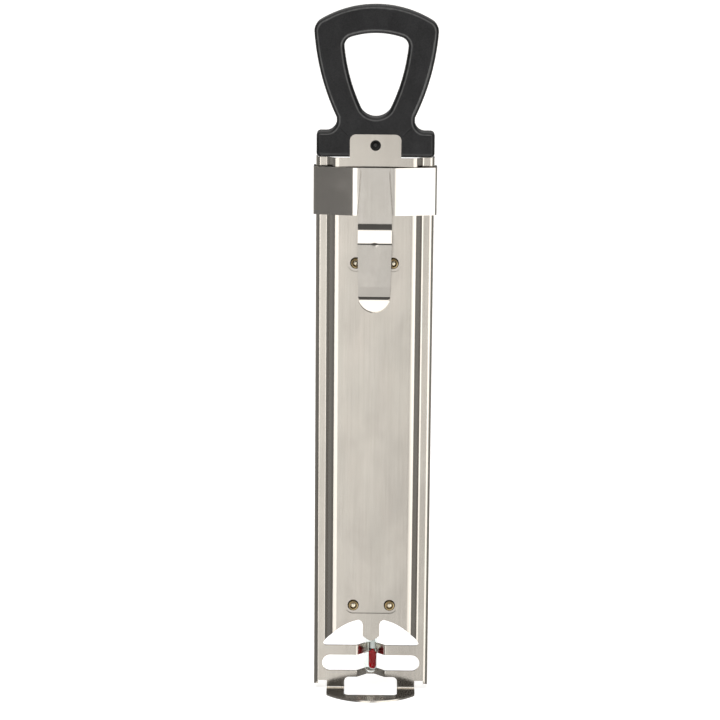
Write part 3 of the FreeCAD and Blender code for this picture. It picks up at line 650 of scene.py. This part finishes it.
def make_pin(material):
    """Peg that locks the handle to the tab, with a dimple in its end."""
    low, high = box_mm("handle_pin")
    middle = (low + high) / 2
    radius = PIN_RADIUS
    profile = [(0.0, low.y + 0.42), (0.35, low.y + 0.4), (0.62, low.y + 0.16)]
    profile += [(0.8, low.y + 0.03), (1.0, low.y), (radius - 0.28, low.y + 0.05)]
    profile += [(radius - 0.08, low.y + 0.16), (radius, low.y + 0.36)]
    profile += [(radius, high.y - 0.2), (radius - 0.2, high.y), (0.0, high.y)]
    mesh = lathe("pin", profile, axis="Y", turns=48)
    piece("locking_pin", mesh, material, "paddle", ["handle_pin"],
          place=(middle.x * MM, 0.0, middle.z * MM))


def make_tube(envelope_glass, stem_glass, rubber):
    """Outer tube with its round lower end, inner stem with its bulb, and the plug."""
    low, high = box_mm("glass_envelope")
    middle = (low + high) / 2
    outside, inside = 3.0, 2.6
    profile = arc((0.0, low.z + outside), outside, -90, 0, 14)
    profile += [(outside, low.z + 60.0), (outside, low.z + 140.0), (outside, high.z - 0.15)]
    profile += [(outside - 0.12, high.z), (inside + 0.1, high.z), (inside, high.z - 0.12)]
    profile += [(inside, low.z + 140.0), (inside, low.z + 60.0)]
    profile += arc((0.0, low.z + outside), inside, 0, -90, 14)
    profile[0] = (0.0, low.z)
    profile[-1] = (0.0, low.z + outside - inside)
    mesh = lathe("envelope", profile, centre=(middle.x, middle.y), sharp=50.0)
    piece("outer_glass_tube", mesh, envelope_glass, "paddle", ["glass_envelope"])

    low, high = box_mm("capillary_stem")
    bulb, stem = 1.78, 1.55
    centre = ((low.x + high.x) / 2, (low.y + high.y) / 2)
    neck = box_mm("spirit_bulb")[1].z
    profile = arc((0.0, low.z + bulb), bulb, -90, 0, 12)
    profile += [(bulb, neck - 0.7), (bulb - 0.04, neck - 0.3), (stem + 0.06, neck + 0.1)]
    profile += [(stem, neck + 0.5), (stem, low.z + 90.0), (stem, high.z - 0.5)]
    profile += [(stem - 0.4, high.z - 0.1), (stem - 0.8, high.z), (0.0, high.z)]
    mesh = lathe("stem", profile, centre=centre, sharp=50.0)
    piece("inner_glass_stem", mesh, stem_glass, "paddle", ["capillary_stem"])

    low, high = box_mm("envelope_plug")
    profile = [(0.0, low.z), (2.3, low.z), (2.56, low.z + 0.3), (2.58, high.z - 0.6)]
    profile += [(2.5, high.z - 0.25), (2.2, high.z - 0.06), (1.2, high.z), (0.0, high.z)]
    middle = (low + high) / 2
    mesh = lathe("plug", profile, centre=(middle.x, middle.y))
    piece("tube_plug", mesh, rubber, "paddle", ["envelope_plug"])


def make_backing(material):
    """Curved enamel strip in the stem's wall, on the side away from the scale."""
    low, high = box_mm("capillary_stem")
    neck = box_mm("spirit_bulb")[1].z
    centre = (low + high) / 2
    heights = [neck + 0.9 + (high.z - neck - 3.0) * k / 30 for k in range(31)]
    rows = []
    for radius in (1.22, 1.02):
        bow = arc((centre.x, centre.y), radius, -145, -35, 14)
        rows.append([[(x, y, z) for x, y in bow] for z in heights])
    mesh = shell("backing", *rows)
    for face in mesh.polygons:
        face.use_smooth = True
    mesh.set_sharp_from_angle(angle=math.radians(40.0))
    piece("enamel_backing", mesh, material, "paddle")


def make_spirit(material):
    """Filled bulb, thread and meniscus in one."""
    low, bulb_top = box_mm("spirit_bulb")
    column_low, column_high = box_mm("spirit_column")
    top = box_mm("spirit_meniscus")[1].z
    centre = ((low.x + bulb_top.x) / 2, (low.y + bulb_top.y) / 2)
    cavity, thread = 1.70, 0.32
    neck = column_low.z
    profile = arc((0.0, low.z + cavity), cavity, -90, 0, 12)
    profile[0] = (0.0, low.z)
    profile += [(cavity, neck - 1.3), (cavity - 0.2, neck - 0.9), (cavity - 0.75, neck - 0.4)]
    profile += [(thread + 0.12, neck - 0.05), (thread, neck + 0.4)]
    count = 24
    profile += [(thread, neck + 0.4 + (column_high.z - neck - 0.4) * k / count)
                for k in range(1, count + 1)]
    profile += [(thread, top - thread)] + arc((0.0, top - thread), thread, 15, 90, 6)
    profile[-1] = (0.0, top)
    mesh = lathe("spirit", profile, centre=centre, turns=40, sharp=60.0)
    replaced = ["spirit_bulb", "spirit_column", "spirit_meniscus"]
    spirit = piece("dyed_spirit", mesh, material, None, replaced)
    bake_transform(spirit)


# --------------------------------------------------------------- scale on the front

SCALE_BASE = 47.0
SCALE_COLD = 20.0
MM_PER_DEGREE = 140.0 / 180.0
MARK_START = 4.2
CELSIUS_REACH = (8.2, 7.2, 6.0)  # where long, middle and short marks end
FAHRENHEIT_REACH = (8.2, 6.8, 5.6)
THICK, THIN = 0.28, 0.16
PRINT_DEPTH = 0.026
NUMBER_X, NUMBER_SIZE = 11.3, 3.0


def height_of(celsius):
    return SCALE_BASE + (celsius - SCALE_COLD) * MM_PER_DEGREE


def text_mesh(words, size):
    """Mesh of a short text in millimetres, facing +Y, centred on its origin."""
    curve = bpy.data.curves.new("words", "FONT")
    curve.body = words
    curve.size = size
    curve.align_x = "CENTER"
    curve.align_y = "CENTER"
    curve.extrude = 0.012
    curve.resolution_u = 4
    scratch = bpy.data.objects.new("scratch", curve)
    bpy.context.collection.objects.link(scratch)
    graph = bpy.context.evaluated_depsgraph_get()
    mesh = bpy.data.meshes.new_from_object(scratch.evaluated_get(graph))
    bpy.data.objects.remove(scratch)
    mesh.transform(Matrix.Rotation(math.pi, 4, "Z") @ Matrix.Rotation(math.pi / 2, 4, "X"))
    return mesh


def make_scale(material):
    """Printed marks and numbers on the panel's front, Celsius and Fahrenheit each side."""
    low, _ = box_mm("upper_tube_strap")
    face = low.y - 0.5
    print_y = face + 0.014
    joined = bmesh.new()

    def mark(x_low, x_high, z, thick):
        corners = [(x, y, w) for x in (x_low, x_high) for y in (face, face + PRINT_DEPTH)
                   for w in (z - thick / 2, z + thick / 2)]
        spots = [joined.verts.new(Vector(corner) * MM) for corner in corners]
        for quad in ((0, 1, 3, 2), (4, 6, 7, 5), (0, 4, 5, 1), (2, 3, 7, 6), (0, 2, 6, 4),
                     (1, 5, 7, 3)):
            joined.faces.new([spots[index] for index in quad])

    def number(value, x, z):
        words = text_mesh(str(value), NUMBER_SIZE)
        words.transform(Matrix.Translation((x, print_y, z)))
        words.transform(Matrix.Scale(MM, 4))
        joined.from_mesh(words)
        bpy.data.meshes.remove(words)

    for celsius in range(30, 201, 2):
        major, middle = celsius % 20 == 0, celsius % 10 == 0
        reach = CELSIUS_REACH[0 if major else 1 if middle else 2]
        mark(MARK_START, reach, height_of(celsius), THICK if middle else THIN)
        if major:
            number(celsius, NUMBER_X, height_of(celsius))
    for fahrenheit in range(90, 391, 5):
        celsius = (fahrenheit - 32) / 1.8
        major, middle = fahrenheit % 50 == 0, fahrenheit % 10 == 0
        reach = FAHRENHEIT_REACH[0 if major else 1 if middle else 2]
        mark(-reach, -MARK_START, height_of(celsius), THICK if major else THIN)
        if major:
            number(fahrenheit, -NUMBER_X, height_of(celsius))
    mesh = bpy.data.meshes.new("scale")
    bmesh.ops.recalc_face_normals(joined, faces=joined.faces)
    joined.to_mesh(mesh)
    joined.free()
    piece("printed_scale", mesh, material, "paddle")


# ------------------------------------------------------------------ stage and light

def add_camera():
    middle = (CAD_BOX[0][2] + CAD_BOX[1][2]) / 2
    aim = Vector((0.0, AIM_Y * MM, middle + AIM_LIFT * MM))
    back = Vector((0.0, -math.cos(VIEW_DOWN), math.sin(VIEW_DOWN)))
    data = bpy.data.cameras.new("camera")
    data.lens = LENS
    data.sensor_width = SENSOR
    data.shift_x, data.shift_y = VIEW_SHIFT
    data.clip_end = 100.0
    camera = bpy.data.objects.new("camera", data)
    turn = (-back).to_track_quat("-Z", "Y").to_matrix().to_4x4()
    roll = Matrix.Rotation(VIEW_ROLL, 4, "Z")
    camera.matrix_world = Matrix.Translation(aim + back * VIEW_DISTANCE) @ turn @ roll
    bpy.context.collection.objects.link(camera)
    bpy.context.scene.camera = camera


def add_floor():
    """Large pale floor that the camera sees; metal reflects the studio instead of it."""
    size, cells = 60.0, 8
    mesh = bpy.data.meshes.new("floor")
    made = bmesh.new()
    bmesh.ops.create_grid(made, x_segments=cells, y_segments=cells, size=size)
    made.to_mesh(mesh)
    made.free()
    paper = Finish("studio_floor", Specular_IOR_Level=0.0)
    paper.shader.inputs["Roughness"].default_value = 1.0
    paper.shader.inputs["Base Color"].default_value = (0.93, 0.93, 0.93, 1.0)
    paper.shader.inputs["Emission Color"].default_value = (1.0, 1.0, 1.0, 1.0)
    paper.shader.inputs["Emission Strength"].default_value = 0.42
    mesh.materials.append(paper.material)
    floor = bpy.data.objects.new("floor", mesh)
    floor.visible_glossy = False
    bpy.context.collection.objects.link(floor)


STUDIO_STRENGTH = 2.4
WARM_WHITE = (1.0, 0.985, 0.955)
# What stands round the paddle below its own height: (degrees from the camera's side, level).
CARDS = [
    (-180, 0.36), (-172, 0.36), (-168, 0.8), (-150, 0.8), (-146, 0.16), (-112, 0.14),
    (-92, 0.12), (-26, 0.09), (-21.5, 0.09), (-19.0, 0.95), (-5.5, 0.95), (-1.5, 0.37),
    (2.0, 0.365), (5, 0.31), (9, 0.33), (15, 0.95), (54, 0.95), (62, 0.12), (92, 0.13),
    (112, 0.14), (146, 0.16), (150, 0.8), (168, 0.8), (172, 0.36), (180, 0.36),
]


def add_studio():
    """White ceiling and back wall, dark room in front, and a ring of cards and flags."""
    world = bpy.data.worlds.new("studio")
    bpy.context.scene.world = world
    world.use_nodes = True
    world.node_tree.nodes.clear()
    room = Nodes(world.node_tree)

    parts = room.node("ShaderNodeSeparateXYZ")
    room.feed(parts.inputs["Vector"], room.node("ShaderNodeTexCoord").outputs["Generated"])
    turn = room.math("ARCTAN2", parts.outputs["X"],
                     room.math("MULTIPLY", parts.outputs["Y"], -1.0))
    turn = room.math("ADD", room.math("DIVIDE", turn, 2 * math.pi), 0.5)
    height = room.math("ADD", room.math("MULTIPLY", parts.outputs["Z"], 0.5), 0.5)

    front = room.ramp(height, [(0.50, 0.045), (0.90, 0.05), (0.945, 0.75), (1.0, 0.75)])
    rear = room.ramp(height, [(0.5, 0.05), (0.69, 0.06), (0.76, 0.5)])
    behind = room.ramp(turn, [(0.0, 1.0), (0.20, 1.0), (0.25, 0.0), (0.75, 0.0), (0.80, 1.0),
                              (1.0, 1.0)])
    above = room.mix(behind, front, rear)
    cards = room.ramp(turn, [(degrees / 360 + 0.5, level) for degrees, level in CARDS])
    falloff = room.ramp(height, [(0.22, 0.88), (0.335, 0.76), (0.41, 0.92), (0.45, 0.95)])
    ring = room.mix(1.0, cards, falloff, "MULTIPLY")
    below = room.ramp(height, [(0.455, 1.0), (0.497, 0.0)])
    tinted = room.mix(1.0, room.mix(below, above, ring), WARM_WHITE, "MULTIPLY")

    path = room.node("ShaderNodeLightPath")
    seen = room.math("MAXIMUM", path.outputs["Is Camera Ray"],
                     path.outputs["Is Transmission Ray"])
    background = room.node("ShaderNodeBackground")
    background.inputs["Strength"].default_value = STUDIO_STRENGTH
    room.feed(background.inputs["Color"], room.mix(seen, tinted, 1.0 / STUDIO_STRENGTH))
    output = room.node("ShaderNodeOutputWorld")
    room.feed(output.inputs["Surface"], background.outputs["Background"])


def add_key_light():
    """Soft overhead panel that gives the floor its faint contact shadow."""
    data = bpy.data.lights.new("overhead", "AREA")
    data.shape = "RECTANGLE"
    data.size, data.size_y = 1.6, 1.6
    data.energy = 12.0
    light = bpy.data.objects.new("overhead", data)
    light.location = (-0.5, -0.9, 1.6)
    light.rotation_euler = Vector((0.5, 0.9, -1.45)).to_track_quat("-Z", "Y").to_euler()
    light.visible_glossy = False
    bpy.context.collection.objects.link(light)


def dress(node, material):
    """Give a carried-over CAD node its material."""
    for slot in NODES[node].material_slots:
        slot.material = material


def main():
    add_camera()
    add_floor()
    add_studio()
    add_key_light()
    bpy.context.scene.view_settings.view_transform = "Standard"

    sheet = brushed_steel("sheet_steel", (0.58, 0.55, 0.51), (0.71, 0.67, 0.62), 0.17, 0.05,
                          (16.0, 16.0, 30.0), 0.4)
    spring = brushed_steel("spring_steel", (0.63, 0.60, 0.565), (0.73, 0.70, 0.665), 0.10, 0.03,
                           (10.0, 10.0, 12.0), 0.2)
    for node in ("paddle_plate", "upper_tube_strap", "lower_tube_strap"):
        dress(node, sheet)
    dress("handle", handle_plastic())
    make_band(spring)
    make_tongue(spring)
    metal = rivet_metal()
    for level in ("upper", "lower"):
        for side in ("left", "right"):
            make_rivet(f"rivet_{level}_{side}", metal)
    make_pin(pin_plastic())
    make_tube(glass("tube_glass", (0.86, 0.90, 0.89), 0.006, 1.20),
              glass("stem_glass", (0.95, 0.97, 0.96), 0.004, 1.05), plug_rubber())
    make_backing(white_enamel())
    make_spirit(red_spirit())
    make_scale(scale_ink())


main()
bpy.context.view_layer.update()
